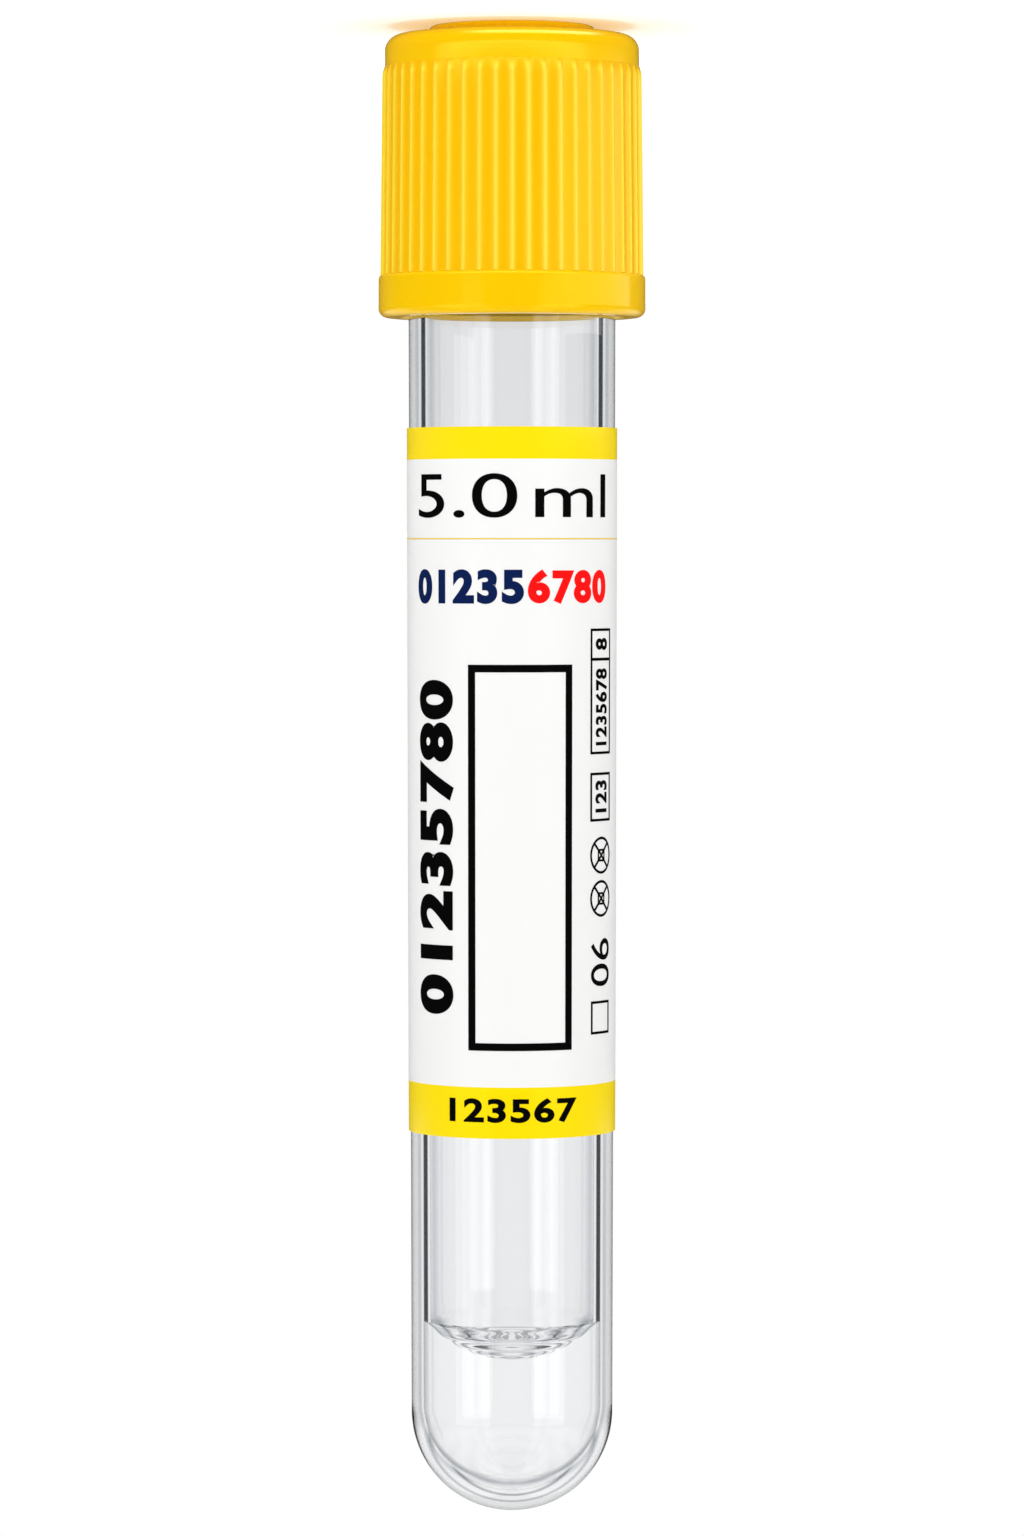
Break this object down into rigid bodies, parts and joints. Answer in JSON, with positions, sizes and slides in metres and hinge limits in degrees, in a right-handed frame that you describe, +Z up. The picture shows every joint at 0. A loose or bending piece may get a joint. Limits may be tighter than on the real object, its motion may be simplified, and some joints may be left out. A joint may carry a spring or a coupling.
{
  "type": "blood collection tube",
  "caption": "Clear round-bottomed sample tube with separator gel, a wrapped label, and a ribbed yellow pull-off cap around a pierceable rubber stopper, stood on its cap.",
  "frame": {"origin": "on the floor that the cap's raised ring stands on, on the tube's axis, which is the centre of the underside of the bounding box", "axes": "+Z up along the axis from the cap to the round tip, -Y out through the middle of the label, +X to the left of the label as its print is read the right way up"},
  "size_m": [0.0168, 0.0168, 0.0935],
  "materials": {
    "tube_body": "clear moulded PET, polished",
    "separator_gel": "clear thixotropic gel",
    "label": "satin white film-faced paper, printed",
    "cap": "yellow moulded polyethylene, satin gloss",
    "rubber_stopper": "grey butyl rubber"
  },
  "bodies": {
    "closure": {"cap": "cap", "rubber_stopper": "rubber_stopper"},
    "tube": {"tube_body": "tube_body", "separator_gel": "separator_gel", "label": "label"}
  },
  "joints": [
    {"name": "tube_pull", "type": "slide", "parent": "closure", "child": "tube", "axis": [0, 0, 1], "range_m": [0, 0.02]}
  ]
}
